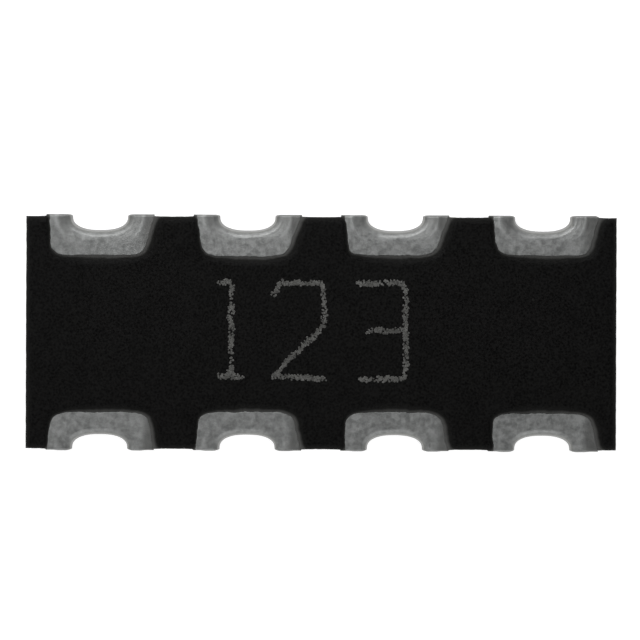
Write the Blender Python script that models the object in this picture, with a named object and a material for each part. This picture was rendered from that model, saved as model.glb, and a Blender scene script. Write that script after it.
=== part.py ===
"""Chip resistor network: four thick-film resistors side by side on one ceramic plate.

Each resistor ends in two concave terminals. A terminal wraps from the plate's top
face, through a notch in its long edge, to the underside, where it is soldered. It is
built up as the real one is: fired silver, a nickel barrier, then tin. Black epoxy
covers the top face and leaves a window open over each terminal.

Metres, +Z up, +X along the plate. The origin lies under the middle of the part, on
the surface that its tin pads rest on. Terminals are numbered as pins: 1 to 4 along
the front edge from the left, and 5 to 8 back along the rear edge from the right.
"""

import math

import bmesh
import bpy
from mathutils import Vector

MM = 0.001

# The plate is snapped from a sheet of equal cells, one for each resistor
ELEMENT_COUNT = 4
ELEMENT_PITCH = 1.27 * MM

# Ceramic plate
PLATE_WIDTH = 2.00 * MM
PLATE_THICKNESS = 0.50 * MM

# V-groove in the sheet's underside, along which each short end was snapped
SCORE_DEPTH = 0.050 * MM
SCORE_HALF_WIDTH = 0.022 * MM

# Notch, as punched in the ceramic: half of an oval hole, a little wider at the top
NOTCH_WIDTH = 0.586 * MM
NOTCH_DEPTH = 0.175 * MM
NOTCH_DRAFT = 0.015 * MM
NOTCH_SQUARENESS = 2.4
NOTCH_RIM_RADIUS = 0.025 * MM

# Thicknesses of the printed, fired and plated layers
SILVER_FILM = 0.014 * MM
NICKEL_PLATE = 0.006 * MM
TIN_PLATE = 0.010 * MM
RESISTOR_FILM = 0.014 * MM
GLASS_FILM = 0.014 * MM
OVERCOAT_COVER = 0.036 * MM

# Clearance that stands for the contact between two layers
LAYER_GAP = 0.001 * MM

# Silver pads on the two faces of the plate, measured in from its long edge
TOP_PAD_WIDTH = 0.96 * MM
TOP_PAD_DEPTH = 0.46 * MM
UNDER_PAD_WIDTH = 0.90 * MM
UNDER_PAD_DEPTH = 0.36 * MM
PAD_CORNER_RADIUS = 0.07 * MM

# How far the overcoat laps over a top pad: at the plate's edge, at the pad's two
# corners and at its inner end. Its window is a little narrower inside.
LAP_AT_EDGE = 0.030 * MM
LAP_AT_CORNERS = 0.100 * MM
LAP_AT_END = 0.126 * MM
WINDOW_CORNER_RADIUS = 0.070 * MM

# Overcoat rim, where the ink thins out round each window and along the plate's edges.
# Between a window and the plate's end its two slopes leave some of the strip level.
OVERCOAT_FEATHER = 0.008 * MM
OVERCOAT_SLOPE = 0.055 * MM
SLOPE_SHARE = 0.4

# Resistor film, printed over the ends of two facing silver pads
RESISTOR_WIDTH = 0.56 * MM
RESISTOR_OVERLAP = 0.08 * MM
RESISTOR_STEP_RUN = 0.03 * MM

# Glass over the resistor film
GLASS_SIDE_COVER = 0.04 * MM
GLASS_END_SETBACK = 0.01 * MM

# Laser trim: an L-shaped cut in through one side of each film, then along it until
# that resistor came up to its value
TRIM_KERF = 0.04 * MM
TRIM_REACH = 0.30 * MM
TRIM_START = 0.16 * MM
TRIM_RUNS = (0.24 * MM, 0.17 * MM, 0.29 * MM, 0.21 * MM)

# Facets. The notch has one for each stretch of a pad's outline, so that the lining
# can be lofted from one to the other.
CORNER_SEGMENTS = 3
NOTCH_SEGMENTS = 2 * (CORNER_SEGMENTS + 2)
RIM_SEGMENTS = 2
SLOPE_SEGMENTS = 2
SMOOTH_ANGLE = math.radians(50)

# Modelling allowances
CUT_MARGIN = 0.05 * MM
WELD_DISTANCE = 1e-6 * MM

# Faces of each metal layer, out from the ceramic's surface
SILVER_IN = LAYER_GAP
SILVER_OUT = SILVER_IN + SILVER_FILM
NICKEL_IN = SILVER_OUT + LAYER_GAP
NICKEL_OUT = NICKEL_IN + NICKEL_PLATE
TIN_IN = NICKEL_OUT + LAYER_GAP
TIN_OUT = TIN_IN + TIN_PLATE

# Heights
PLATE_UNDERSIDE = TIN_OUT
PLATE_TOP = PLATE_UNDERSIDE + PLATE_THICKNESS
FILM_LOW = PLATE_TOP + LAYER_GAP
FILM_LOW_TOP = FILM_LOW + RESISTOR_FILM
FILM_HIGH = PLATE_TOP + SILVER_OUT + LAYER_GAP
FILM_HIGH_TOP = FILM_HIGH + RESISTOR_FILM
GLASS_TOP = FILM_LOW_TOP + LAYER_GAP + GLASS_FILM
OVERCOAT_UNDERSIDE = PLATE_TOP + LAYER_GAP
OVERCOAT_RIM_TOP = FILM_HIGH + OVERCOAT_FEATHER
OVERCOAT_TOP = max(GLASS_TOP, FILM_HIGH_TOP) + LAYER_GAP + OVERCOAT_COVER

# Places along the plate and across it
PLATE_END = ELEMENT_COUNT * ELEMENT_PITCH / 2
PLATE_EDGE = PLATE_WIDTH / 2
PAD_END = PLATE_EDGE - TOP_PAD_DEPTH
GLASS_END = PAD_END - RESISTOR_STEP_RUN - GLASS_END_SETBACK

# Outlines of the pads and of the window, as pad_outline takes them
TOP_PAD = (TOP_PAD_WIDTH, TOP_PAD_WIDTH, TOP_PAD_DEPTH, PAD_CORNER_RADIUS)
UNDER_PAD = (UNDER_PAD_WIDTH, UNDER_PAD_WIDTH, UNDER_PAD_DEPTH, PAD_CORNER_RADIUS)
WINDOW_WIDTH = TOP_PAD_WIDTH - 2 * LAP_AT_EDGE
WINDOW = (
    WINDOW_WIDTH,
    TOP_PAD_WIDTH - 2 * LAP_AT_CORNERS,
    TOP_PAD_DEPTH - LAP_AT_END,
    WINDOW_CORNER_RADIUS,
)
END_STRIP = (ELEMENT_PITCH - WINDOW_WIDTH) / 2
SLOPE_REACH = min(OVERCOAT_SLOPE, SLOPE_SHARE * END_STRIP)


def clear_scene():
    for old in list(bpy.data.objects):
        bpy.data.objects.remove(old)


def new_collection(name):
    made = bpy.data.collections.new(name)
    bpy.context.scene.collection.children.link(made)
    return made


def new_material(name, colour, roughness, metallic):
    made = bpy.data.materials.new(name)
    made.use_nodes = True
    shader = made.node_tree.nodes["Principled BSDF"]
    shader.inputs["Base Color"].default_value = (*colour, 1.0)
    shader.inputs["Roughness"].default_value = roughness
    shader.inputs["Metallic"].default_value = metallic
    return made


def finished_mesh(name, shape):
    """The mesh of a closed shape, facing out, with its round stretches smooth."""
    bmesh.ops.remove_doubles(shape, verts=shape.verts, dist=WELD_DISTANCE)
    bmesh.ops.recalc_face_normals(shape, faces=shape.faces)
    mesh = bpy.data.meshes.new(name)
    shape.to_mesh(mesh)
    shape.free()
    mesh.shade_smooth()
    mesh.set_sharp_from_angle(angle=SMOOTH_ANGLE)
    return mesh


def lofted_mesh(name, sections):
    """A closed skin over a row of closed sections that hold as many points each."""
    shape = bmesh.new()
    rings = [[shape.verts.new(point) for point in section] for section in sections]
    for ring, next_ring in zip(rings, rings[1:]):
        for i in range(len(ring)):
            shape.faces.new((ring[i - 1], ring[i], next_ring[i], next_ring[i - 1]))
    shape.faces.new(rings[0])
    shape.faces.new(rings[-1])
    return finished_mesh(name, shape)


def extruded_mesh(name, outline, along):
    """A flat outline of points in space, drawn out along a vector."""
    shape = bmesh.new()
    face = shape.faces.new([shape.verts.new(point) for point in outline])
    drawn = bmesh.ops.extrude_face_region(shape, geom=[face])["geom"]
    ends = [item for item in drawn if isinstance(item, bmesh.types.BMVert)]
    bmesh.ops.translate(shape, verts=ends, vec=along)
    return finished_mesh(name, shape)


def add_object(name, mesh, collection, material=None, parent=None):
    made = bpy.data.objects.new(name, mesh)
    collection.objects.link(made)
    made.parent = parent
    if material is not None and not mesh.materials:
        mesh.materials.append(material)
    return made


def add_cutter(name, mesh, collection, parent=None):
    made = add_object(name, mesh, collection, parent=parent)
    made.hide_render = True
    made.display_type = "WIRE"
    return made


def subtract(target, name, cutters):
    cut = target.modifiers.new(name, "BOOLEAN")
    cut.operation = "DIFFERENCE"
    cut.operand_type = "COLLECTION"
    cut.collection = cutters


# A terminal is drawn in a frame of its own: the origin is on the plate's long edge, in
# the middle of the notch, and +Y points out of the plate. Outlines run from +X to -X.


def corner_arc(before, corner, after, radius):
    """Points of the arc that rounds a corner between two straight edges."""
    corner = Vector(corner)
    back = (Vector(before) - corner).normalized()
    ahead = (Vector(after) - corner).normalized()
    half_angle = back.angle(ahead) / 2
    centre = corner + (back + ahead).normalized() * (radius / math.sin(half_angle))
    start = corner + back * (radius / math.tan(half_angle)) - centre
    end = corner + ahead * (radius / math.tan(half_angle)) - centre
    turn = start.angle(end)
    arc = []
    for i in range(CORNER_SEGMENTS + 1):
        share = i / CORNER_SEGMENTS
        spoke = start * math.sin((1 - share) * turn) + end * math.sin(share * turn)
        arc.append(centre + spoke / math.sin(turn))
    return arc


def pad_outline(edge_width, inner_width, depth, radius, grow=0.0, beyond=0.0):
    """Outline of a pad that is open at the plate's edge, as points (x, y). It can grow
    by a distance all round, and its two ends can run on beyond the edge."""
    slant = math.atan2((edge_width - inner_width) / 2, depth)
    edge_x = edge_width / 2 + grow / math.cos(slant)
    inner_y = -(depth + grow)
    inner_x = edge_x + inner_y * math.tan(slant)
    arc = corner_arc((edge_x, 0.0), (inner_x, inner_y), (0.0, inner_y), radius + grow)
    right = [Vector((edge_x, beyond)), *arc]
    left = [Vector((-point.x, point.y)) for point in reversed(right)]
    return [*right, Vector((0.0, inner_y)), *left]


def notch_stations(segments):
    """Points round the oval at the notch's top, each with its direction into the
    ceramic. NOTCH_SEGMENTS of them turn through the half that the plate keeps."""
    half_width = NOTCH_WIDTH / 2
    power = 2 / NOTCH_SQUARENESS
    stations = []
    for i in range(segments):
        turn = math.pi * i / NOTCH_SEGMENTS
        across = round(math.cos(turn), 12)
        inward = round(math.sin(turn), 12)
        x = half_width * math.copysign(abs(across) ** power, across)
        y = -NOTCH_DEPTH * math.copysign(abs(inward) ** power, inward)
        normal_x = math.copysign(abs(across) ** (2 - power), across) / half_width
        normal_y = -math.copysign(abs(inward) ** (2 - power), inward) / NOTCH_DEPTH
        stations.append((Vector((x, y)), Vector((normal_x, normal_y)).normalized()))
    return stations


def wall_line(station, offset, shift=0.0):
    """The line over the notch's top rim, down its wall and round the lower rim, at an
    offset from the ceramic."""
    point, normal = station
    reach = NOTCH_RIM_RADIUS + offset
    rims = (
        (point + normal * NOTCH_RIM_RADIUS, PLATE_TOP, 1),
        (point + normal * (NOTCH_RIM_RADIUS - NOTCH_DRAFT), PLATE_UNDERSIDE, -1),
    )
    line = []
    for centre, face, up in rims:
        arc = []
        for i in range(RIM_SEGMENTS + 1):
            turn = math.pi / 2 * i / RIM_SEGMENTS
            place = centre - normal * (reach * math.sin(turn))
            height = face - up * (NOTCH_RIM_RADIUS - reach * math.cos(turn))
            arc.append((place.x, place.y + shift, height))
        line += arc if up > 0 else reversed(arc)
    return line


def silver_mesh():
    """Fired silver: a pad on each face, joined by the lining of the notch."""
    sections = []
    stations = notch_stations(NOTCH_SEGMENTS + 1)
    for station, above, below in zip(stations, pad_outline(*TOP_PAD), pad_outline(*UNDER_PAD)):
        sections.append(
            [
                (*above, PLATE_TOP + SILVER_OUT),
                *wall_line(station, SILVER_OUT),
                (*below, PLATE_UNDERSIDE - SILVER_OUT),
                (*below, PLATE_UNDERSIDE - SILVER_IN),
                *reversed(wall_line(station, SILVER_IN)),
                (*above, PLATE_TOP + SILVER_IN),
            ]
        )
    return lofted_mesh("silver_electrode", sections)


def plating_mesh(name, inner, outer):
    """One plated layer, between two offsets from the ceramic. On top it fills the
    overcoat's window, and underneath it closes round the silver pad's rim. It also
    grows over the silver's cut faces at the plate's edge, so it stands proud there."""
    inner_reach = inner - SILVER_OUT
    outer_reach = outer - SILVER_OUT
    stations = notch_stations(NOTCH_SEGMENTS + 1)
    tops = pad_outline(*WINDOW, grow=-LAYER_GAP)
    outer_rims = pad_outline(*UNDER_PAD, grow=outer_reach)
    inner_rims = pad_outline(*UNDER_PAD, grow=inner_reach)

    def section(i, depth, shift=0.0):
        """The layer at one station, from its outer face in to a depth."""
        top = (tops[i].x, tops[i].y + shift)
        outer_rim = (outer_rims[i].x, outer_rims[i].y + shift)
        inner_rim = (inner_rims[i].x, inner_rims[i].y + shift)
        return [
            (*top, PLATE_TOP + outer),
            *wall_line(stations[i], outer, shift),
            (*outer_rim, PLATE_UNDERSIDE - outer),
            (*outer_rim, PLATE_UNDERSIDE - LAYER_GAP),
            (*inner_rim, PLATE_UNDERSIDE - LAYER_GAP),
            (*inner_rim, PLATE_UNDERSIDE - depth),
            *reversed(wall_line(stations[i], depth, shift)),
            (*top, PLATE_TOP + depth),
        ]

    def closing_sections(i):
        """The wall over the silver's cut face, from its outside in to the layer."""
        return [
            section(i, SILVER_IN, outer_reach),
            section(i, SILVER_IN, inner_reach),
            section(i, inner, inner_reach),
        ]

    sections = closing_sections(0)
    sections += [section(i, inner) for i in range(1, NOTCH_SEGMENTS)]
    sections += reversed(closing_sections(NOTCH_SEGMENTS))
    return lofted_mesh(name, sections)


def notch_cutter_mesh():
    """The whole oval hole, of which the plate's edge keeps half, with rounded rims."""
    lines = [wall_line(station, 0.0) for station in notch_stations(2 * NOTCH_SEGMENTS)]
    levels = [list(level) for level in zip(*lines)]
    over = [(x, y, z + CUT_MARGIN) for x, y, z in levels[0]]
    under = [(x, y, z - CUT_MARGIN) for x, y, z in levels[-1]]
    return lofted_mesh("notch_cutter", [over, *levels, under])


def pad_room_mesh():
    """The room that the overcoat leaves round a silver pad's top half."""
    outline = pad_outline(*TOP_PAD, grow=LAYER_GAP, beyond=CUT_MARGIN)
    depth = FILM_HIGH - PLATE_UNDERSIDE
    return extruded_mesh(
        "pad_room", [(x, y, PLATE_UNDERSIDE) for x, y in outline], (0.0, 0.0, depth)
    )


def score_cutter_mesh():
    """The V-groove along one short end, of which the snapped plate keeps half."""
    half_width = SCORE_HALF_WIDTH * (SCORE_DEPTH + CUT_MARGIN) / SCORE_DEPTH
    mouth = PLATE_UNDERSIDE - CUT_MARGIN
    start = -PLATE_EDGE - CUT_MARGIN
    outline = [
        (-half_width, start, mouth),
        (half_width, start, mouth),
        (0.0, start, PLATE_UNDERSIDE + SCORE_DEPTH),
    ]
    return extruded_mesh("score_cutter", outline, (0.0, -2 * start, 0.0))


# The films are drawn in a frame with its origin under the middle of one resistor.


def mirrored(half):
    """Half of a profile, completed by its mirror image at zero."""
    return half + [(-across, height) for across, height in reversed(half)]


def resistor_mesh():
    """Resistor film, whose two ends step up onto the silver pads."""
    low_end = PAD_END - LAYER_GAP
    end = PAD_END + RESISTOR_OVERLAP
    half = [
        (low_end, FILM_LOW),
        (low_end, FILM_HIGH),
        (end, FILM_HIGH),
        (end, FILM_HIGH_TOP),
        (PAD_END, FILM_HIGH_TOP),
        (PAD_END - RESISTOR_STEP_RUN, FILM_LOW_TOP),
    ]
    start = -RESISTOR_WIDTH / 2
    outline = [(start, y, z) for y, z in mirrored(half)]
    return extruded_mesh("resistor_film", outline, (RESISTOR_WIDTH, 0.0, 0.0))


def resistor_room_mesh():
    """The room that the overcoat leaves for a resistor film."""
    end = PAD_END + RESISTOR_OVERLAP + LAYER_GAP
    half = [
        (end, PLATE_UNDERSIDE),
        (end, FILM_HIGH_TOP + LAYER_GAP),
        (PAD_END, FILM_HIGH_TOP + LAYER_GAP),
        (PAD_END - RESISTOR_STEP_RUN, FILM_LOW_TOP + LAYER_GAP),
    ]
    start = -RESISTOR_WIDTH / 2 - LAYER_GAP
    outline = [(start, y, z) for y, z in mirrored(half)]
    return extruded_mesh("resistor_room", outline, (-2 * start, 0.0, 0.0))


def glass_mesh():
    """Glass that caps the flat of a resistor film and closes down its two sides."""
    inside = RESISTOR_WIDTH / 2 + LAYER_GAP
    outside = RESISTOR_WIDTH / 2 + GLASS_SIDE_COVER
    half = [
        (inside, FILM_LOW_TOP + LAYER_GAP),
        (inside, FILM_LOW),
        (outside, FILM_LOW),
        (outside, GLASS_TOP),
    ]
    outline = [(x, -GLASS_END, z) for x, z in mirrored(half)]
    return extruded_mesh("glass_cover", outline, (0.0, 2 * GLASS_END, 0.0))


def glass_room_mesh():
    """The room that the overcoat leaves for a glass cover."""
    outside = RESISTOR_WIDTH / 2 + GLASS_SIDE_COVER + LAYER_GAP
    end = GLASS_END + LAYER_GAP
    half = [(outside, PLATE_UNDERSIDE), (outside, GLASS_TOP + LAYER_GAP)]
    outline = [(x, -end, z) for x, z in mirrored(half)]
    return extruded_mesh("glass_room", outline, (0.0, 2 * end, 0.0))


def trim_cutter_mesh(run):
    """The laser's path: in from one side, then along the film for a run."""
    side = RESISTOR_WIDTH / 2 + GLASS_SIDE_COVER + CUT_MARGIN
    tip = RESISTOR_WIDTH / 2 - TRIM_REACH
    start = -TRIM_START
    outline = [
        (side, start),
        (side, start + TRIM_KERF),
        (tip + TRIM_KERF, start + TRIM_KERF),
        (tip + TRIM_KERF, start + TRIM_KERF + run),
        (tip, start + TRIM_KERF + run),
        (tip, start),
    ]
    depth = GLASS_TOP + CUT_MARGIN - PLATE_UNDERSIDE
    return extruded_mesh(
        "trim_cutter", [(x, y, PLATE_UNDERSIDE) for x, y in outline], (0.0, 0.0, depth)
    )


def inset(outline, distance):
    """A counter-clockwise outline, moved in by one distance all round."""
    moved = []
    for i, point in enumerate(outline):
        before = (point - outline[i - 1]).normalized()
        after = (outline[(i + 1) % len(outline)] - point).normalized()
        inward = Vector((-before.y - after.y, before.x + after.x)).normalized()
        spread = inward.dot(Vector((-before.y, before.x)))
        moved.append(point + inward * (distance / spread))
    return moved


def overcoat_mesh(front_windows, rear_windows):
    """One sheet of overcoat, open over each terminal, with a rim that rounds off."""
    outline = [Vector((-PLATE_END, -PLATE_EDGE))]
    for window in front_windows:
        outline += window
    outline += [Vector((PLATE_END, -PLATE_EDGE)), Vector((PLATE_END, PLATE_EDGE))]
    for window in rear_windows:
        outline += window
    outline.append(Vector((-PLATE_END, PLATE_EDGE)))

    rings = [(0.0, OVERCOAT_UNDERSIDE)]
    for i in range(SLOPE_SEGMENTS + 1):
        turn = math.pi / 2 * i / SLOPE_SEGMENTS
        rise = (OVERCOAT_TOP - OVERCOAT_RIM_TOP) * math.sin(turn)
        rings.append((SLOPE_REACH * (1 - math.cos(turn)), OVERCOAT_RIM_TOP + rise))
    sections = [[(*point, height) for point in inset(outline, reach)] for reach, height in rings]
    return lofted_mesh("black_overcoat", sections)


def element_x(element):
    return (element - (ELEMENT_COUNT - 1) / 2) * ELEMENT_PITCH


def add_terminal_frames(collection):
    """An empty for each terminal, in pin order, with +Y out of the plate."""
    frames = []
    for front in (True, False):
        for step in range(ELEMENT_COUNT):
            element = step if front else ELEMENT_COUNT - 1 - step
            frame = bpy.data.objects.new(f"terminal_{len(frames) + 1}", None)
            collection.objects.link(frame)
            frame.empty_display_size = NOTCH_DEPTH
            frame.location = (element_x(element), -PLATE_EDGE if front else PLATE_EDGE, 0.0)
            frame.rotation_euler.z = math.pi if front else 0.0
            frames.append(frame)
    bpy.context.view_layer.update()
    return frames


def add_terminals(parts, frames):
    silver = new_material("fired_silver", (0.62, 0.61, 0.58), 0.50, 1.0)
    nickel = new_material("plated_nickel", (0.45, 0.43, 0.39), 0.35, 1.0)
    tin = new_material("matte_tin", (0.30, 0.31, 0.30), 0.55, 1.0)
    layers = (
        ("silver_electrode", silver_mesh(), silver),
        ("nickel_barrier", plating_mesh("nickel_barrier", NICKEL_IN, NICKEL_OUT), nickel),
        ("tin_terminal", plating_mesh("tin_terminal", TIN_IN, TIN_OUT), tin),
    )
    for pin, frame in enumerate(frames, start=1):
        for name, mesh, material in layers:
            add_object(f"{name}_{pin}", mesh, parts, material, frame)


def add_plate(parts, frames):
    """The plate: a block with a notch at each terminal and two scored ends."""
    cutters = new_collection("plate_cutters")
    notch = notch_cutter_mesh()
    for pin, frame in enumerate(frames, start=1):
        add_cutter(f"notch_cutter_{pin}", notch, cutters, frame)
    score = score_cutter_mesh()
    for side, end in (("left", -PLATE_END), ("right", PLATE_END)):
        add_cutter(f"score_cutter_{side}", score, cutters).location.x = end

    bpy.ops.mesh.primitive_cube_add(size=1.0)
    plate = bpy.context.object
    plate.name = "ceramic_plate"
    plate.data.name = "ceramic_plate"
    plate.scale = (2 * PLATE_END, PLATE_WIDTH, PLATE_THICKNESS)
    bpy.ops.object.transform_apply(location=False, rotation=False, scale=True)
    plate.location.z = (PLATE_UNDERSIDE + PLATE_TOP) / 2
    for collection in list(plate.users_collection):
        collection.objects.unlink(plate)
    parts.objects.link(plate)
    plate.data.materials.append(new_material("white_alumina", (0.80, 0.79, 0.75), 0.75, 0.0))
    subtract(plate, "notches_and_scores", cutters)


def add_resistors(parts):
    """The four films and their glass, each pair trimmed by one pass of the laser."""
    ink = new_material("ruthenium_film", (0.03, 0.03, 0.035), 0.45, 0.0)
    glass = new_material("undercoat_glass", (0.08, 0.16, 0.10), 0.15, 0.0)
    for element in range(ELEMENT_COUNT):
        number = element + 1
        trim = new_collection(f"trim_{number}")
        run = TRIM_RUNS[element % len(TRIM_RUNS)]
        cutter = add_cutter(f"trim_cutter_{number}", trim_cutter_mesh(run), trim)
        cutter.location.x = element_x(element)
        film = add_object(f"resistor_film_{number}", resistor_mesh(), parts, ink)
        cover = add_object(f"glass_cover_{number}", glass_mesh(), parts, glass)
        for piece in (film, cover):
            piece.location.x = element_x(element)
            subtract(piece, "laser_trim", trim)


def add_overcoat(parts, frames):
    """The overcoat, cut out underneath to lie over pads, films and glass."""
    windows = []
    for frame in frames:
        outline = [frame.matrix_world @ point.to_3d() for point in pad_outline(*WINDOW)]
        windows.append([point.to_2d() for point in outline])
    mesh = overcoat_mesh(windows[:ELEMENT_COUNT], windows[ELEMENT_COUNT:])
    epoxy = new_material("black_epoxy", (0.010, 0.010, 0.010), 0.60, 0.0)
    overcoat = add_object("black_overcoat", mesh, parts, epoxy)

    rooms = new_collection("overcoat_rooms")
    pad_room = pad_room_mesh()
    for pin, frame in enumerate(frames, start=1):
        add_cutter(f"pad_room_{pin}", pad_room, rooms, frame)
    resistor_room = resistor_room_mesh()
    glass_room = glass_room_mesh()
    for element in range(ELEMENT_COUNT):
        for name, mesh in (("resistor_room", resistor_room), ("glass_room", glass_room)):
            room = add_cutter(f"{name}_{element + 1}", mesh, rooms)
            room.location.x = element_x(element)
    subtract(overcoat, "rooms_underneath", rooms)


clear_scene()
network = new_collection("resistor_network")
terminal_frames = add_terminal_frames(network)
add_plate(network, terminal_frames)
add_terminals(network, terminal_frames)
add_resistors(network)
add_overcoat(network, terminal_frames)
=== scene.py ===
"""The look of a chip resistor network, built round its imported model.

The sections follow the part as it is made: the ceramic plate, the silver and nickel
under each terminal, the resistor films and their glass, the black overcoat, the tin
terminals, and the value code that a laser burns in. The card that it lies on, the light
and the camera close the file. Lengths are in metres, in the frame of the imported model.
"""

import math

import bmesh
import bpy
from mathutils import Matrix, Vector, noise
from mathutils.geometry import delaunay_2d_cdt


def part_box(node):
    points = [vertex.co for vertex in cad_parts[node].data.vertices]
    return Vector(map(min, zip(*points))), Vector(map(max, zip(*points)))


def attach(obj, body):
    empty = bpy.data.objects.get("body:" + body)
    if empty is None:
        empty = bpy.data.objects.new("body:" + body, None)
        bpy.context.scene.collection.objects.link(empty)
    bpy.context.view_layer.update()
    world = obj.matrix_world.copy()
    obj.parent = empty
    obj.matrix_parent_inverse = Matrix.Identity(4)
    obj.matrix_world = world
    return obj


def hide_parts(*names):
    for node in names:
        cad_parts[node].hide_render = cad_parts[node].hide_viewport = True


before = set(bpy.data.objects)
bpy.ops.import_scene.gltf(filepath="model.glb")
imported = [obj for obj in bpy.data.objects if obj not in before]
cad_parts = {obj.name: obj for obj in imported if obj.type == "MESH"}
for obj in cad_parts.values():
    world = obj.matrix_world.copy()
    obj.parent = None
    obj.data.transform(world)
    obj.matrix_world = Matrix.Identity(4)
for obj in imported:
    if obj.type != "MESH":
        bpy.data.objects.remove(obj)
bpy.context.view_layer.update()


# Ceramic plate
# White alumina, pressed and fired as a large sheet with rows of oval holes, then snapped
# into single plates: the holes are left as half-oval notches, and the edges are broken.

MM = 0.001
MICRON = 0.000001

ELEMENT_COUNT = 4
PLATE_LOW, PLATE_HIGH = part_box("ceramic_plate")
PITCH = (PLATE_HIGH.x - PLATE_LOW.x) / ELEMENT_COUNT
PLATE_END = PLATE_HIGH.x
PLATE_EDGE = PLATE_HIGH.y

NOTCH_HALF_WIDTH = 0.283 * MM
NOTCH_DEPTH = 0.166 * MM
NOTCH_DRAFT = 0.015 * MM
NOTCH_SQUARENESS = 2.4
NOTCH_RIM = 0.025 * MM

SCORE_DEPTH = 0.050 * MM
SCORE_HALF_WIDTH = 0.022 * MM

# The snapped edge: how far apart its points lie, and how rough it is, coarse and fine
EDGE_STEP = 0.020 * MM
FRACTURE_RELIEF = 7 * MICRON
FRACTURE_SIZE = 0.055 * MM
FRACTURE_LEVEL, FRACTURE_CONTRAST = 0.5, 0.9
FINE_FRACTURE, FINE_SHARE = 2.7, 0.4

RIM_STEPS = 4
WALL_STEPS = 26
NOTCH_STEPS = 28
CORNER_CLEARANCE = 1.6 * NOTCH_RIM
PLATE_CREASE = math.radians(45)

# How each flat face is filled in: inside its outline only, and this exactly in millimetres
INSIDE_ONLY, FILL_MARGIN = 1, 0.00001

ALUMINA_TONES = ((0.70, 0.69, 0.655), (0.83, 0.825, 0.79))
PORE_COLOUR = (0.42, 0.41, 0.38)


def terminal_places():
    """Each terminal as (pin, place of its notch on the plate's long edge, facing).
    Facing is 1 on the rear edge, and -1 on the front edge, where all is turned round."""
    places = []
    for front in (True, False):
        for step in range(ELEMENT_COUNT):
            element = step if front else ELEMENT_COUNT - 1 - step
            x = (element - (ELEMENT_COUNT - 1) / 2) * PITCH
            facing = -1.0 if front else 1.0
            places.append((len(places) + 1, Vector((x, facing * PLATE_EDGE)), facing))
    return places


def straight_stations(start, end, outward):
    """Stations along one snapped stretch of edge, which leave out its end point."""
    count = max(1, round((end - start).length / EDGE_STEP))
    return [(start.lerp(end, i / count), outward, 0.0) for i in range(count)]


def notch_stations(place, facing):
    """Stations round one notch, from its left horn to its right one, seen from outside."""
    stations = []
    power = 2 / NOTCH_SQUARENESS
    for i in range(NOTCH_STEPS + 1):
        turn = math.pi * i / NOTCH_STEPS
        across, inward = round(math.cos(turn), 9), round(math.sin(turn), 9)
        x = NOTCH_HALF_WIDTH * math.copysign(abs(across) ** power, across)
        y = -NOTCH_DEPTH * inward**power
        normal = Vector(
            (
                math.copysign(abs(across) ** (2 - power), across) / NOTCH_HALF_WIDTH,
                -(inward ** (2 - power)) / NOTCH_DEPTH,
            )
        ).normalized()
        stations.append((place + facing * Vector((x, y)), -facing * normal, NOTCH_RIM))
    return stations


def plate_stations():
    """The plate's outline, counter-clockwise: point, outward direction, rim radius."""
    places = terminal_places()
    stations = []
    for facing, row in ((-1.0, places[:ELEMENT_COUNT]), (1.0, places[ELEMENT_COUNT:])):
        outward, side = Vector((0.0, facing)), Vector((-facing, 0.0))
        near = Vector((facing * PLATE_END, facing * PLATE_EDGE))
        far = Vector((-facing * PLATE_END, facing * PLATE_EDGE))
        stations.append((near, (outward - side).normalized(), 0.0))
        start = near + side * CORNER_CLEARANCE
        for _, place, _ in row:
            notch = notch_stations(place, facing)
            end = notch[0][0] - side * CORNER_CLEARANCE
            stations += straight_stations(start, end, outward) + notch
            start = notch[-1][0] + side * CORNER_CLEARANCE
        stations += straight_stations(start, far - side * CORNER_CLEARANCE, outward)
        stations.append((far, (outward + side).normalized(), 0.0))
        start = far - outward * CORNER_CLEARANCE
        end = outward * CORNER_CLEARANCE - near
        stations += straight_stations(start, end, side)
    return stations


def plate_levels():
    """Heights down the edge, as (height, turn round the rim that is there)."""
    levels = []
    for i in range(RIM_STEPS + 1):
        turn = math.pi / 2 * i / RIM_STEPS
        levels.append((PLATE_HIGH.z - NOTCH_RIM * (1 - math.cos(turn)), turn))
    low = PLATE_LOW.z + NOTCH_RIM
    for i in range(1, WALL_STEPS):
        height = levels[RIM_STEPS][0] + (low - levels[RIM_STEPS][0]) * i / WALL_STEPS
        levels.append((height, math.pi / 2))
    for i in range(RIM_STEPS + 1):
        turn = math.pi / 2 * (1 - i / RIM_STEPS)
        levels.append((PLATE_LOW.z + NOTCH_RIM * (1 - math.cos(turn)), turn))
    return levels


def plate_point(station, level):
    """The point of the edge at one station and height. Notches have a rim and a draft,
    the snapped stretches are rough, and the short ends show half of a score line."""
    point, outward, rim = station
    height, turn = level
    if rim:
        drop = (PLATE_HIGH.z - height) / (PLATE_HIGH.z - PLATE_LOW.z)
        moved = point - outward * (rim * (1 - math.sin(turn)) - NOTCH_DRAFT * drop)
        return Vector((moved.x, moved.y, height))
    groove = 0.0
    if abs(outward.x) > 0.5:
        groove = SCORE_HALF_WIDTH * max(0.0, 1 - (height - PLATE_LOW.z) / SCORE_DEPTH)
    sample = Vector((point.x, point.y, height)) / FRACTURE_SIZE
    coarse, fine = noise.noise(sample), noise.noise(sample * FINE_FRACTURE)
    relief = (1 - FINE_SHARE) * coarse + FINE_SHARE * fine
    bitten = min(1.0, max(0.0, FRACTURE_LEVEL + FRACTURE_CONTRAST * relief))
    moved = point - outward * (groove + FRACTURE_RELIEF * bitten)
    return Vector((moved.x, moved.y, height))


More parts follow.
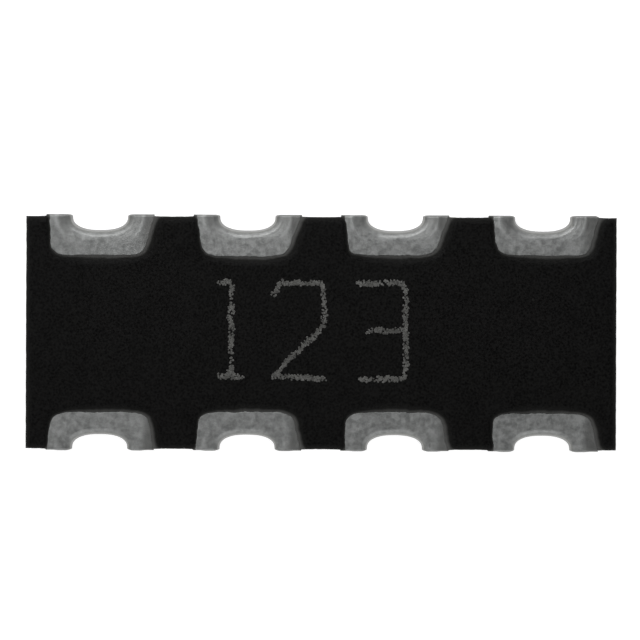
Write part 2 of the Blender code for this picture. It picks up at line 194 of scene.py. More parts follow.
def ceramic_mesh():
    """The plate: rings of points down its edge, and a flat cap on either face."""
    shape = bmesh.new()
    stations = plate_stations()
    rings = []
    for level in plate_levels():
        points = [plate_point(station, level) / MM for station in stations]
        rings.append([shape.verts.new(point) for point in points])
    for ring, next_ring in zip(rings, rings[1:]):
        for i in range(len(ring)):
            shape.faces.new((ring[i - 1], next_ring[i - 1], next_ring[i], ring[i]))
    for ring in (rings[0], rings[-1]):
        outline = [point.co.xy for point in ring]
        cap = delaunay_2d_cdt(outline, [], [range(len(ring))], INSIDE_ONLY, FILL_MARGIN)
        corners, origins = cap[2:4]
        for face in corners:
            shape.faces.new([ring[origins[i][0]] for i in face])
    bmesh.ops.recalc_face_normals(shape, faces=shape.faces)
    bmesh.ops.scale(shape, vec=(MM, MM, MM), verts=shape.verts)
    mesh = bpy.data.meshes.new("alumina_plate")
    shape.to_mesh(mesh)
    shape.free()
    mesh.shade_smooth()
    mesh.set_sharp_from_angle(angle=PLATE_CREASE)
    return mesh


class Field:
    """A number in a tree of nodes, which takes part in plain arithmetic."""

    def __init__(self, socket):
        self.tree = socket.id_data
        self.socket = socket

    def maths(self, operation, *others):
        node = self.tree.nodes.new("ShaderNodeMath")
        node.operation = operation
        for slot, value in zip(node.inputs, (self, *others)):
            feed(value, slot)
        return Field(node.outputs[0])

    def __add__(self, other):
        return self.maths("ADD", other)

    def __sub__(self, other):
        return self.maths("SUBTRACT", other)

    def __mul__(self, other):
        return self.maths("MULTIPLY", other)

    def __truediv__(self, other):
        return self.maths("DIVIDE", other)

    def __pow__(self, other):
        return self.maths("POWER", other)

    def __abs__(self):
        return self.maths("ABSOLUTE")

    def __neg__(self):
        return self * -1.0

    def __rsub__(self, other):
        return -self + other

    def __rtruediv__(self, other):
        return self**-1.0 * other

    __radd__ = __add__

    def at_most(self, other):
        return self.maths("MINIMUM", other)

    def at_least(self, other):
        return self.maths("MAXIMUM", other)

    def ramp(self, start, end, first=0.0, last=1.0, smooth=False):
        """Runs from first to last as this number goes from start to end."""
        node = self.tree.nodes.new("ShaderNodeMapRange")
        node.interpolation_type = "SMOOTHSTEP" if smooth else "LINEAR"
        for slot, value in zip(node.inputs, (self, start, end, first, last)):
            feed(value, slot)
        return Field(node.outputs[0])

    def blend(self, other, share):
        return self + (other - self) * share


def feed(value, slot):
    """Gives a socket its value: a link from a node, or a plain number or colour."""
    if isinstance(value, Field):
        value = value.socket
    if isinstance(value, bpy.types.NodeSocket):
        slot.id_data.links.new(value, slot)
    else:
        slot.default_value = value


def new_node(tree, kind, group=None, **values):
    """Adds a node to a tree, and feeds its inputs by their names. It may hold a group."""
    node = tree.nodes.new(kind)
    if group:
        node.node_tree = group
    for label, value in values.items():
        feed(value, node.inputs[label.replace("_", " ")])
    return node


def pattern_place(tree):
    """Object coordinates through a Mapping node, so that one unit is a millimetre."""
    place = tree.nodes.new("ShaderNodeTexCoord").outputs["Object"]
    mapping = new_node(tree, "ShaderNodeMapping", Vector=place, Scale=(1 / MM, 1 / MM, 1 / MM))
    return mapping.outputs["Vector"]


def noise_field(vector, scale, detail=2.0, roughness=0.5):
    values = {"Vector": vector, "Scale": scale, "Detail": detail, "Roughness": roughness}
    return Field(new_node(vector.id_data, "ShaderNodeTexNoise", **values).outputs[0])


def effect_group(name, numbers, results):
    """A group of shader nodes: a place and numbers go in, and other numbers come out."""
    group = bpy.data.node_groups.new(name, "ShaderNodeTree")
    sockets = group.interface
    sockets.new_socket("Vector", in_out="INPUT", socket_type="NodeSocketVector")
    for label, value in numbers.items():
        made = sockets.new_socket(label, in_out="INPUT", socket_type="NodeSocketFloat")
        made.default_value = value
    for label in results:
        sockets.new_socket(label, in_out="OUTPUT", socket_type="NodeSocketFloat")
    start = group.nodes.new("NodeGroupInput")
    end = group.nodes.new("NodeGroupOutput")
    return group, start.outputs, end.inputs


def cell_pattern(vector, scale):
    """A pattern of cells: the colour of each, and the distance from its middle."""
    cells = new_node(vector.id_data, "ShaderNodeTexVoronoi", Vector=vector, Scale=scale)
    return cells.outputs["Color"], Field(cells.outputs["Distance"])


def grain_group():
    """Crystal grain: fine tooth for a bump, and soft patches for colour and gloss."""
    numbers = {"Grain Scale": 60.0, "Patch Scale": 8.0, "Patch Contrast": 2.0}
    group, given, result = effect_group("Crystal Grain", numbers, ("Height", "Patches"))
    fine = noise_field(given["Vector"], given["Grain Scale"], 3.0, 0.6)
    _, cells = cell_pattern(given["Vector"], given["Grain Scale"])
    feed(fine * 0.7 + cells * 0.3, result["Height"])
    soft = noise_field(given["Vector"], given["Patch Scale"], 3.0, 0.55)
    strong = (soft - 0.5) * Field(given["Patch Contrast"]) + 0.5
    feed(strong.ramp(0.0, 1.0), result["Patches"])
    return group


def speck_group():
    """Small round specks: a mask that is 1 in the middle of a few scattered cells."""
    numbers = {"Cell Scale": 6.0, "Share": 0.1, "Radius": 0.2}
    group, given, result = effect_group("Scattered Specks", numbers, ("Mask",))
    colour, distance = cell_pattern(given["Vector"], given["Cell Scale"])
    chance = new_node(group, "ShaderNodeSeparateColor", Color=colour)
    chosen = Field(chance.outputs[0]).maths("LESS_THAN", given["Share"])
    spread = distance / Field(given["Radius"])
    feed(chosen * spread.ramp(0.6, 1.0, 1.0, 0.0, smooth=True), result["Mask"])
    return group


GRAIN = grain_group()
SPECKS = speck_group()


def place_group(group, vector, **values):
    """Puts a shared effect into a material, with its own values."""
    node = new_node(vector.id_data, "ShaderNodeGroup", group, Vector=vector, **values)
    return {made.name: Field(made) for made in node.outputs}


def colour_blend(first, second, share):
    node = share.tree.nodes.new("ShaderNodeMix")
    node.data_type = "RGBA"
    feed(share, node.inputs[0])
    for slot, colour in ((node.inputs[6], first), (node.inputs[7], second)):
        feed((*colour, 1.0) if isinstance(colour, tuple) else colour, slot)
    return node.outputs[2]


def new_finish(name, **constants):
    """A material, with the numbers that are the same all over set on its shader, and
    the place of each point in its patterns."""
    made = bpy.data.materials.new(name)
    made.use_nodes = True
    shader = made.node_tree.nodes["Principled BSDF"]
    for label, value in constants.items():
        feed(value, shader.inputs[label.replace("_", " ")])
    return made, shader, pattern_place(made.node_tree)


def grained_finish(name, grain_scale, patch_scale, contrast=2.0, **constants):
    """A material with crystal grain, whose scales are to the millimetre."""
    made, shader, vector = new_finish(name, **constants)
    grain = place_group(
        GRAIN, vector, Grain_Scale=grain_scale, Patch_Scale=patch_scale, Patch_Contrast=contrast
    )
    return made, shader, vector, grain


def set_surface(shader, colour, roughness, height, relief, strength=0.8):
    """Feeds a shader its colour and roughness, and a bump whose relief is in metres."""
    values = {"Distance": relief, "Strength": strength, "Height": height}
    bump = new_node(shader.id_data, "ShaderNodeBump", **values)
    feed(bump.outputs["Normal"], shader.inputs["Normal"])
    feed(roughness, shader.inputs["Roughness"])
    feed(colour, shader.inputs["Base Color"])


def alumina_finish():
    made, shader, vector, grain = grained_finish(
        "alumina_ceramic", 95.0, 7.0, 2.2, Specular_IOR_Level=0.35
    )
    pores = place_group(SPECKS, vector, Cell_Scale=26.0, Share=0.08, Radius=0.26)
    tone = colour_blend(*ALUMINA_TONES, grain["Patches"])
    colour = colour_blend(tone, PORE_COLOUR, pores["Mask"] * 0.55)
    height = grain["Height"] - pores["Mask"] * 0.8
    set_surface(shader, colour, grain["Patches"] * 0.18 + 0.62, height, 3 * MICRON)
    return made


def linked_object(name, data):
    made = bpy.data.objects.new(name, data)
    bpy.context.scene.collection.objects.link(made)
    return made


def add_piece(name, mesh, finish, slot, *replaced):
    """Adds a made piece with its finish, in place of its nodes where it has any."""
    piece = linked_object(name, mesh)
    mesh.materials.clear()
    mesh.materials.append(finish)
    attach(piece, "root")
    if replaced:
        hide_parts(*replaced)


add_piece("alumina_plate", ceramic_mesh(), alumina_finish(), "alumina", "ceramic_plate")


# Silver electrodes and nickel barriers
# A paste of silver and glass is printed on both faces and through each notch and fired.
# Nickel is plated over it, so that the solder of the board can't dissolve the silver.

PINS = range(1, 2 * ELEMENT_COUNT + 1)
SILVER_TONES = ((0.50, 0.49, 0.46), (0.68, 0.67, 0.63))
NICKEL_TONES = ((0.38, 0.36, 0.32), (0.50, 0.48, 0.43))


def metal_finish(name, tones, grain_scale, roughness, relief):
    made, shader, vector, grain = grained_finish(name, grain_scale, 12.0, Metallic=1.0)
    colour = colour_blend(*tones, grain["Patches"])
    gloss = grain["Patches"] * 0.16 + roughness
    set_surface(shader, colour, gloss, grain["Height"], relief, 0.7)
    return made


def dress(nodes, finish):
    """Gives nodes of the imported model, whose shape is right, their finish."""
    for name in nodes:
        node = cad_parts[name]
        if not node.material_slots:
            node.data.materials.append(finish)
        for holder in node.material_slots:
            holder.material = finish


silver = metal_finish("fired_silver", SILVER_TONES, 80.0, 0.42, 2 * MICRON)
dress([f"silver_electrode_{pin}" for pin in PINS], silver)
nickel = metal_finish("plated_nickel", NICKEL_TONES, 140.0, 0.30, MICRON)
dress([f"nickel_barrier_{pin}" for pin in PINS], nickel)


# Resistor films and glass covers
# Each film is ruthenium oxide in glass, printed from one silver pad to the one behind it
# and fired. A green glass goes over it before the laser cuts it to its value.

ELEMENTS = range(1, ELEMENT_COUNT + 1)
FILM_TONES = ((0.018, 0.018, 0.021), (0.045, 0.045, 0.052))
GLASS_TONES = ((0.055, 0.12, 0.075), (0.10, 0.20, 0.13))
BUBBLE_COLOUR = (0.20, 0.30, 0.22)


def film_finish():
    made, shader, vector, grain = grained_finish(
        "ruthenium_film", 70.0, 14.0, Specular_IOR_Level=0.4
    )
    colour = colour_blend(*FILM_TONES, grain["Patches"])
    gloss = grain["Patches"] * 0.2 + 0.35
    set_surface(shader, colour, gloss, grain["Height"], MICRON, 0.6)
    return made


def glass_finish():
    made, shader, vector, grain = grained_finish(
        "undercoat_glass", 40.0, 9.0, Coat_Roughness=0.08
    )
    bubbles = place_group(SPECKS, vector, Cell_Scale=18.0, Share=0.2, Radius=0.3)
    tone = colour_blend(*GLASS_TONES, grain["Patches"])
    colour = colour_blend(tone, BUBBLE_COLOUR, bubbles["Mask"])
    feed(grain["Patches"] * 0.3 + 0.5, shader.inputs["Coat Weight"])
    gloss = grain["Patches"] * 0.1 + 0.10
    set_surface(shader, colour, gloss, bubbles["Mask"], MICRON, 0.5)
    return made


dress([f"resistor_film_{element}" for element in ELEMENTS], film_finish())
dress([f"glass_cover_{element}" for element in ELEMENTS], glass_finish())


# Black overcoat
# Epoxy ink, printed over the whole top face with a window open at each terminal, and
# cured. It rounds off at every edge, laps over the tin at each window, and thins out most
# on the right side of a window, towards which the squeegee ran.

OVERCOAT_LOW, OVERCOAT_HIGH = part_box("black_overcoat")
SILVER_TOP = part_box("silver_electrode_1")[1].z
GLASS_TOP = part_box("glass_cover_1")[1].z
LAYER_GAP = MICRON

# Windows as printed, seen from above: how far each reaches to the left and the right of
# its notch at the plate's edge, how much each side leans in, how deep and how square it is
WINDOWS = {
    1: (0.450 * MM, 0.464 * MM, 0.08, 0.09, 0.314 * MM, 7.0),
    2: (0.436 * MM, 0.454 * MM, 0.03, 0.12, 0.320 * MM, 7.0),
    3: (0.428 * MM, 0.457 * MM, 0.00, 0.12, 0.320 * MM, 7.0),
    4: (0.424 * MM, 0.477 * MM, -0.02, 0.12, 0.315 * MM, 7.0),
    5: (0.432 * MM, 0.480 * MM, 0.10, 0.16, 0.325 * MM, 8.5),
    6: (0.436 * MM, 0.456 * MM, 0.09, 0.26, 0.331 * MM, 8.5),
    7: (0.432 * MM, 0.459 * MM, 0.10, 0.27, 0.342 * MM, 8.5),
    8: (0.436 * MM, 0.468 * MM, 0.04, 0.21, 0.337 * MM, 8.5),
}

# The outline of a window wavers, and the coat reaches a hundredth inside it, over the tin
WINDOW_WAVINESS, WAVE_SCALE = 0.11, 3.6
WINDOW_LAP = 0.989

# The width of the slope beside a window, and the share of the film left at its rim
SLOPES = {
    "Left Slope": 0.035 * MM,
    "Right Slope": 0.090 * MM,
    "End Slope": 0.090 * MM,
    "Left Rim": 0.22,
    "Right Rim": 0.03,
    "End Rim": 0.16,
}
LEAST_FILM = 0.22
HIDDEN_SLOPE = 0.060 * MM

# At the plate's edge: the rounding, the film left there, and bites where it broke. Beside
# a terminal the coat stands out instead, over the ends of the silver and the nickel.
EDGE_SLOPE = 0.055 * MM
EDGE_FILM = 0.2
BITE_DEPTH, BITE_REACH, BITE_LEVEL = 14 * MICRON, 30 * MICRON, 0.46
NICKEL_COVER, LEAST_COVER = 8 * MICRON, 1.5 * MICRON
NICKEL_END = (0.450 * MM, 0.478 * MM)
COVER_END = (0.490 * MM, 0.530 * MM)
SWELL, RIPPLE = 2.2, 0.7

PATCH_SIDE_STEPS = 34
PATCH_END_STEPS = 44
PATCH_ROWS = 36
EDGE_CROWDING = 1.8
COAT_CREASE = math.radians(50)
WELD_DISTANCE = 0.02 * MICRON

COAT_TONES = ((0.0, 0.0, 0.0), (0.0066, 0.0066, 0.0064))
FILLER_COLOUR = (0.012, 0.012, 0.011)
SLOPE_SHEEN_COLOUR = (0.014, 0.014, 0.013)
# A painted sheen: the coat's slopes beside the windows and at the plate's edge are made
# lighter.
THIN_COAT_COLOUR = (0.095, 0.095, 0.092)


def geometry_tree(name, numbers, has_finish=False):
    """A tree of geometry nodes with named inputs, as (tree, inputs, output)."""
    tree = bpy.data.node_groups.new(name, "GeometryNodeTree")
    kinds = {"Geometry": "NodeSocketGeometry"} | dict.fromkeys(numbers, "NodeSocketFloat")
    if has_finish:
        kinds["Finish"] = "NodeSocketMaterial"
    for label, kind in kinds.items():
        tree.interface.new_socket(label, in_out="INPUT", socket_type=kind)
    tree.interface.new_socket("Geometry", in_out="OUTPUT", socket_type="NodeSocketGeometry")
    start = tree.nodes.new("NodeGroupInput")
    end = tree.nodes.new("NodeGroupOutput")
    given = {label: Field(start.outputs[label]) for label in kinds}
    given["Geometry"] = start.outputs["Geometry"]
    return tree, given, end.inputs["Geometry"]


def chain(kind, shape, **values):
    """Adds a node that takes a shape and gives it on, and returns its first output."""
    node = new_node(shape.id_data, kind, **values)
    feed(shape, next(slot for slot in node.inputs if slot.type == "GEOMETRY"))
    return node.outputs[0]


def end_tree(shape, given, result):
    """Ends a tree with plain meshes that have their finish."""
    real = chain("GeometryNodeRealizeInstances", shape)
    feed(chain("GeometryNodeSetMaterial", real, Material=given["Finish"]), result)


def vector_of(tree, x, y, z):
    node = tree.nodes.new("ShaderNodeCombineXYZ")
    for slot, value in zip(node.inputs, (x, y, z)):
        feed(value, slot)
    return node.outputs[0]


def parts_of(vector):
    """The x, y and z of a vector."""
    node = new_node(vector.id_data, "ShaderNodeSeparateXYZ", Vector=vector)
    return [Field(slot) for slot in node.outputs]


def kept(shape, name, value, kind="FLOAT"):
    """Stores a value at each point under a name, for the material or the next tree."""
    node = shape.id_data.nodes.new("GeometryNodeStoreNamedAttribute")
    node.data_type = kind
    feed(name, node.inputs["Name"])
    feed(shape, node.inputs["Geometry"])
    feed(value, next(slot for slot in node.inputs if slot.name == "Value" and slot.enabled))
    return node.outputs["Geometry"]


def named(tree, name, kind="FLOAT"):
    """A value that was stored at each point under a name."""
    node = tree.nodes.new("GeometryNodeInputNamedAttribute")
    node.data_type = kind
    node.inputs["Name"].default_value = name
    return Field(node.outputs["Attribute"])


def sheet_grid(tree, columns, rows):
    """A square sheet of points, which keep how far along and down it each one is."""
    sizes = {"Size X": 1.0, "Size Y": 1.0, "Vertices X": columns, "Vertices Y": rows}
    sheet = new_node(tree, "GeometryNodeMeshGrid", **sizes).outputs["Mesh"]
    x, y, _ = parts_of(tree.nodes.new("GeometryNodeInputPosition").outputs[0])
    sheet = kept(kept(sheet, "along", x + 0.5), "down", y + 0.5)
    return sheet, named(tree, "along"), named(tree, "down")


def length_of(x, y):
    return (x * x + y * y) ** 0.5


def rounded(share):
    """Rises from 0 to 1 along a quarter of a circle as the share goes from 0 to 1."""
    return share.ramp(0.0, 1.0, 0.0, math.pi / 2).maths("SINE")


def top_noise(x, y, layer, scale, detail, roughness=0.5):
    """Noise over the top face, to the millimetre. Each layer is a pattern of its own."""
    return noise_field(vector_of(x.tree, x / MM, y / MM, layer), scale, detail, roughness)


def oval_reach(across, inward, half_width, depth, squareness):
    """How far a squared oval reaches from its middle in one direction."""
    total = (abs(across) / half_width) ** squareness + (abs(inward) / depth) ** squareness
    return total ** (-1.0 / squareness)


WINDOW_INPUTS = (
    *("Plus Reach", "Minus Reach", "Plus Lean", "Minus Lean", "Depth", "Squareness"),
    *("Seed", "Place X", "Place Y", "Facing"),
)


def window_values(pin, place, facing):
    """A window's measures as the trees take them, with plus and minus in its own frame."""
    left, right, lean_left, lean_right, depth, squareness = WINDOWS[pin]
    sides = ((left, lean_left), (right, lean_right))
    minus, plus = sides if facing > 0 else sides[::-1]
    values = (plus[0], minus[0], plus[1], minus[1], depth, squareness)
    return dict(zip(WINDOW_INPUTS, (*values, float(pin), place.x, place.y, facing)))


def window_point(given, across, inward):
    """The point of a window's outline in one direction from its notch, as (x, y)."""
    plus = across.maths("GREATER_THAN", 0.0)
    half_width = given["Minus Reach"].blend(given["Plus Reach"], plus)
    lean = given["Minus Lean"].blend(given["Plus Lean"], plus)
    reach = oval_reach(across, inward, half_width, given["Depth"], given["Squareness"])
    direction = vector_of(across.tree, across, inward, given["Seed"])
    wave = noise_field(direction, WAVE_SCALE, 4.0, 0.6)
    reach = reach * ((wave - 0.5) * WINDOW_WAVINESS + 1.0)
    y = -(reach * inward)
    x = reach * across * (1.0 + y / given["Depth"] * lean)
    return x, y


def side_blend(across, plus, minus, end):
    """A value that a window has on its plus side, its minus side and its inner end."""
    plus_share = across.at_least(0.0) ** 2.0
    minus_share = (-across).at_least(0.0) ** 2.0
    return (plus - end) * plus_share + (minus - end) * minus_share + end


def overcoat_patch_tree():
    """The overcoat round one terminal: a sheet from its window out to the rectangle
    that is the terminal's share of the plate. Patches meet point for point."""
    sides = ("Plus", "Minus", "End")
    slopes = [f"{side} {kind}" for kind in ("Slope", "Rim") for side in sides]
    tree, given, result = geometry_tree("Overcoat Patch", (*WINDOW_INPUTS, *slopes))
    steps = 2 * PATCH_SIDE_STEPS + PATCH_END_STEPS
    first, second = PATCH_SIDE_STEPS / steps, 1 - PATCH_SIDE_STEPS / steps
    sheet, along, out = sheet_grid(tree, steps + 1, PATCH_ROWS + 1)

    # Round the rectangle, with its points closer together near the plate's long edge
    outer_x = along.ramp(first, second, PITCH / 2, -PITCH / 2)
    near_side = along.ramp(0.0, first) ** EDGE_CROWDING
    far_side = along.ramp(second, 1.0, 1.0, 0.0) ** EDGE_CROWDING
    outer_y = near_side.at_most(far_side) * -PLATE_EDGE
    length = length_of(outer_x, outer_y)
    across, inward = outer_x / length, -(outer_y / length)
    inner_x, inner_y = window_point(given, across, inward)
    inner_x, inner_y = inner_x * WINDOW_LAP, inner_y * WINDOW_LAP

    share = out * out * (3.0 - out * 2.0)
    x = inner_x.blend(outer_x, share)
    y = inner_y.blend(outer_y, share)
    world_x = given["Place X"] + x * given["Facing"]
    world_y = given["Place Y"] + y * given["Facing"]
    to_end = PLATE_END - abs(world_x)

    # Film thickness: least at a window's rim and at the plate's edge
    slope = side_blend(across, given["Plus Slope"], given["Minus Slope"], given["End Slope"])
    rim = side_blend(across, given["Plus Rim"], given["Minus Rim"], given["End Rim"])
    from_window = length_of(x - inner_x, y - inner_y)
    rise = rounded(from_window / slope)
    at_window = rim + (1.0 - rim) * rise * rise
    at_edge = rounded(-y / EDGE_SLOPE) * rounded(to_end / EDGE_SLOPE)
    film = at_window * (at_edge * (1 - EDGE_FILM) + EDGE_FILM)

    swell = top_noise(world_x, world_y, 0.0, 2.6, 3.0)
    ripple = top_noise(world_x, world_y, 4.0, 11.0, 2.0)
    sag = (swell * SWELL + ripple * RIPPLE) * MICRON * film
    full = OVERCOAT_HIGH.z - SILVER_TOP - LAYER_GAP
    height = film.at_least(LEAST_FILM) * full + (SILVER_TOP + LAYER_GAP) - sag

    # The broken edge, pulled in unevenly, and standing out beside a terminal
    bite = top_noise(world_x, world_y, 9.0, 16.0, 3.0, 0.7)
    bite = (bite - BITE_LEVEL).at_least(0.0) * BITE_DEPTH
    cover = abs(x).ramp(*NICKEL_END, NICKEL_COVER, LEAST_COVER, smooth=True)
    bite = bite.blend(-cover, abs(x).ramp(*COVER_END, 1.0, 0.0))
    edge_mask = (-y / BITE_REACH).ramp(0.0, 1.0, 1.0, 0.0)
    end_mask = (to_end / BITE_REACH).ramp(0.0, 1.0, 1.0, 0.0)
    side = world_x.maths("SIGN")
    world_y = world_y - given["Facing"] * bite * edge_mask
    world_x = world_x - side * bite * end_mask

    # Underneath it lies over glass and pads, and comes down to the ceramic at the edges
    over_pad, over_glass = SILVER_TOP + LAYER_GAP, GLASS_TOP + LAYER_GAP
    underside = (from_window / HIDDEN_SLOPE).ramp(0.0, 1.0, over_pad, over_glass)
    underside = underside.blend(OVERCOAT_LOW.z, edge_mask.at_least(end_mask))

    place = vector_of(tree, world_x, world_y, height)
    coat = kept(chain("GeometryNodeSetPosition", sheet, Position=place), "film", film)
    lowered = vector_of(tree, 0.0, 0.0, underside - height)
    feed(kept(coat, "to_inner", lowered, "FLOAT_VECTOR"), result)
    return tree


def closed_sheet_tree():
    """Closes a sheet into a solid: each point's other side lies at its to_inner, and
    the two sides are joined round the rim."""
    tree, given, result = geometry_tree("Closed Sheet", ("Weld Distance",))
    weld = given["Weld Distance"]
    welded = chain("GeometryNodeMergeByDistance", given["Geometry"], Distance=weld)
    shift = {"Offset": named(tree, "to_inner", "FLOAT_VECTOR"), "Offset Scale": 1.0}
    drawn = chain("GeometryNodeExtrudeMesh", welded, Individual=False, **shift)
    both = tree.nodes.new("GeometryNodeJoinGeometry")
    feed(chain("GeometryNodeFlipFaces", drawn), both.inputs[0])
    feed(welded, both.inputs[0])
    feed(chain("GeometryNodeMergeByDistance", both.outputs[0], Distance=weld), result)
    return tree


CLOSED_SHEET = closed_sheet_tree()


def end_closed(sheet, given, result):
    """Closes a sheet into a solid, and ends its tree."""
    values = {"Geometry": sheet, "Weld Distance": given["Weld Distance"]}
    closing = new_node(sheet.id_data, "GeometryNodeGroup", CLOSED_SHEET, **values)
    end_tree(closing.outputs["Geometry"], given, result)


def overcoat_tree():
    """The whole overcoat: the patches round all the terminals, joined and closed."""
    patch_tree = overcoat_patch_tree()
    tree, given, result = geometry_tree("Epoxy Overcoat", (*SLOPES, "Weld Distance"), True)
    patches = tree.nodes.new("GeometryNodeJoinGeometry")
    for pin, place, facing in terminal_places():
        values = window_values(pin, place, facing)
        hands = ("Right", "Left", "End") if facing > 0 else ("Left", "Right", "End")
        for side, hand in zip(("Plus", "Minus", "End"), hands):
            values[f"{side} Slope"] = given[f"{hand} Slope"]
            values[f"{side} Rim"] = given[f"{hand} Rim"]
        patch = new_node(tree, "GeometryNodeGroup", patch_tree, **values)
        feed(patch.outputs["Geometry"], patches.inputs[0])
    end_closed(patches.outputs[0], given, result)
    return tree


def run_tree(tree, name, values, start=None):
    """The plain mesh that a tree of nodes makes from its named inputs."""
    carrier = linked_object(name, start or bpy.data.meshes.new(name))
    maker = carrier.modifiers.new("maker", "NODES")
    maker.node_group = tree
    for item in tree.interface.items_tree:
        if item.in_out == "INPUT" and item.name in values:
            maker[item.identifier] = values[item.name]
    bpy.context.view_layer.update()
    evaluated = carrier.evaluated_get(bpy.context.evaluated_depsgraph_get())
    mesh = bpy.data.meshes.new_from_object(evaluated)
    mesh.name = name
    carrier.modifiers.remove(maker)
    bpy.data.objects.remove(carrier)
    return mesh


def mark(shader, name):
    """A value that the piece's mesh keeps under a name."""
    node = shader.id_data.nodes.new("ShaderNodeAttribute")
    node.attribute_name = name
    return Field(node.outputs["Fac"])


def epoxy_finish():
    made, shader, vector, grain = grained_finish(
        "black_epoxy", 50.0, 5.0, 1.8, Specular_IOR_Level=0.045
    )
    filler = place_group(SPECKS, vector, Cell_Scale=5.0, Share=0.12, Radius=0.08)
    film = mark(shader, "film")
    thin = film.ramp(0.02, 0.50, 1.0, 0.0) ** 1.5
    # Painted sheen: lighter where the coat slopes down to a window or to the plate's edge
    slope = film.ramp(0.15, 0.95, 1.0, 0.0)
    mottle = grain["Height"].ramp(0.35, 0.60) * 0.8 + grain["Patches"] * 0.2
    colour = colour_blend(*COAT_TONES, mottle)
    colour = colour_blend(colour, FILLER_COLOUR, filler["Mask"] * 0.8)
    colour = colour_blend(colour, SLOPE_SHEEN_COLOUR, slope * 0.7)
    colour = colour_blend(colour, THIN_COAT_COLOUR, thin * 0.8)
    gloss = grain["Patches"] * 0.14 + 0.50
    set_surface(shader, colour, gloss, grain["Height"], 1.4 * MICRON)
    return made


epoxy = epoxy_finish()
coat_values = SLOPES | {"Weld Distance": WELD_DISTANCE, "Finish": epoxy}
coat = run_tree(overcoat_tree(), "epoxy_overcoat", coat_values)
coat.shade_smooth()
coat.set_sharp_from_angle(angle=COAT_CREASE)
add_piece("epoxy_overcoat", coat, epoxy, "overcoat", "black_overcoat")


# Tin terminals
# Matte tin, plated last over the nickel. Each is one skin that wraps from the window in
# the overcoat, over the notch's rim and down its wall, to the solder pad underneath, and
# grows a bead over the cut ends of the silver at the plate's edge.

TIN_LOW, TIN_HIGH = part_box("tin_terminal_1")
BEAD = -PLATE_EDGE - TIN_LOW.y
TERMINAL_SIZES = {
    "Notch Half Width": NOTCH_HALF_WIDTH,
    "Notch Depth": NOTCH_DEPTH,
    "Draft": NOTCH_DRAFT,
    "Rim Radius": NOTCH_RIM,
    "Skin": PLATE_LOW.z - TIN_LOW.z,
    "Bead": BEAD,
    "Under Half Width": (TIN_HIGH.x - TIN_LOW.x) / 2,
    "Under Depth": 0.360 * MM + BEAD,
    "Plate Top": PLATE_HIGH.z,
    "Plate Underside": PLATE_LOW.z,
    "Weld Distance": WELD_DISTANCE,
}
TIN_THICKNESS = 9 * MICRON
UNDER_SQUARENESS = 9.0
RIM_ROUNDING = 5 * MICRON

# The bead reaches down over the nickel. Past the notch's sides it stands out less: the
# share of it there, and where that starts and ends, in millimetres from the notch
BEAD_COVER = 11 * MICRON
BEAD_TAPER, TAPER_START, TAPER_END = 0.72, 0.05, 0.13

# The skin sags over thinner silver round the notch, and has a faint lip at the horns,
# which the front row shows least. The lip is also painted lighter, a painted highlight,
# and the sagging skin is painted darker, a painted shade.
SIDE_SAG, SIDE_SAG_REACH = 8 * MICRON, 0.075 * MM
LIP_PLACE, LIP_REACH, LIP_HEIGHT = 0.084 * MM, 0.034 * MM, 2.5 * MICRON
HORN_POWER, FRONT_HORNS = 6.0, 0.25
LUMP_RELIEF, TOOTH_RELIEF = 2.2 * MICRON, 1.0 * MICRON

# Resin that bled in from the window's right side, and where on the wall the painted shade fades
BLEED_START, BLEED_FULL, BLEED_WANDER = 0.380 * MM, 0.450 * MM, 0.10 * MM
BLEED_LEAN = 0.10
WALL_SHADE_FADE, LOW_WALL_SHADE = 0.12, 0.25

TERMINAL_COLUMNS = 149
TERMINAL_ROWS = 93
BEAD_SHARE = 0.04

# Where each stretch of the skin ends, going down it from the window
WINDOW_RIM_END, TOP_END, RIM_END = 0.04, 0.30, 0.42
WALL_END, LOWER_RIM_END, UNDER_END = 0.68, 0.78, 0.95

TIN_TONES = ((0.187, 0.192, 0.189), (0.300, 0.306, 0.302))
# Tones laid over the tin: a painted highlight on the lip, painted shade on the sagging skin and
# on the notch's wall, and the darkening of the resin that bled in
TIN_MARKS = {
    "lip_and_highlight": ((0.42, 0.43, 0.425), 0.5),
    "sag_shade": ((0.160, 0.163, 0.159), 0.5),
    "bleed": ((0.125, 0.126, 0.122), 0.75),
    "wall": ((0.20, 0.20, 0.185), 0.8),
}
PIT_COLOUR = (0.165, 0.166, 0.158)


def times(vector, factor):
    """A vector made longer or shorter."""
    node = new_node(vector.id_data, "ShaderNodeVectorMath", Vector=vector)
    node.operation = "SCALE"
    feed(factor, node.inputs["Scale"])
    return node.outputs[0]


